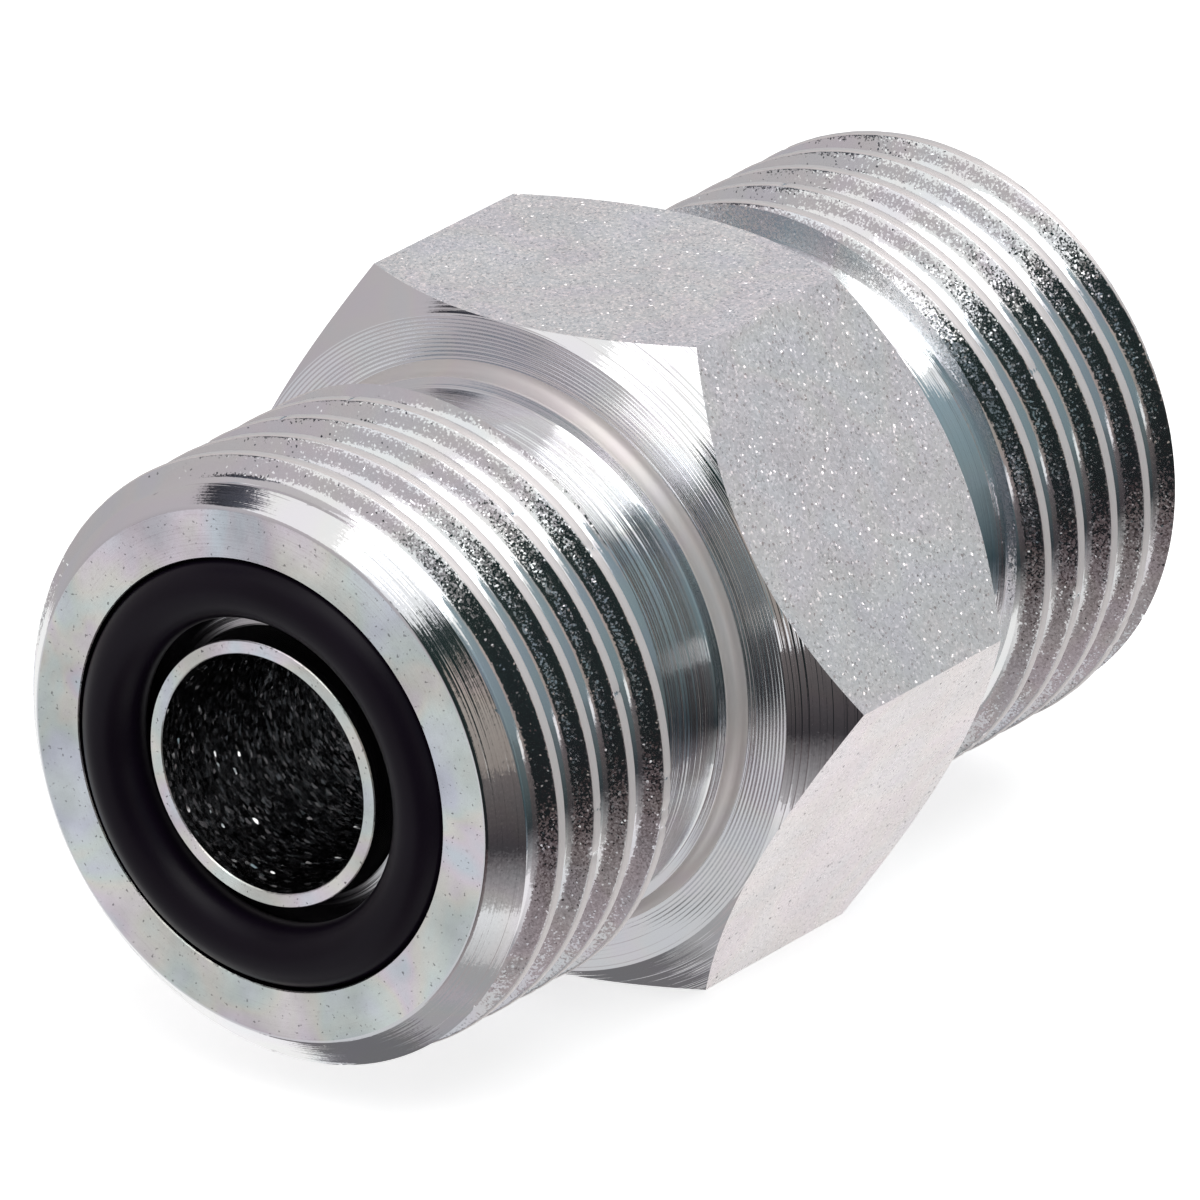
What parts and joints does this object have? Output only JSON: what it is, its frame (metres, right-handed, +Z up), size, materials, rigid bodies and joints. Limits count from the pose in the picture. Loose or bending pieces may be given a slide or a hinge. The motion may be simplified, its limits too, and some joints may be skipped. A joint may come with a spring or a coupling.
{
  "type": "face seal tube fitting",
  "caption": "Straight face seal union for hydraulic tube: threaded spigots with rubber rings in their end faces and a hexagon for the spanner between them.",
  "frame": {"origin": "on the bore axis at mid-length", "axes": "+Y along the bore towards the far face, +Z up through one flat of the hexagon, lying on the opposite flat"},
  "size_m": [0.022, 0.0326, 0.019],
  "materials": {
    "zinc_plated_steel": "turned steel with clear zinc plating",
    "nitrile_rubber": "smooth black moulded rubber"
  },
  "bodies": {
    "root": {"fitting_body": "zinc_plated_steel", "front_seal_ring": "nitrile_rubber", "rear_seal_ring": "nitrile_rubber"}
  },
  "joints": []
}
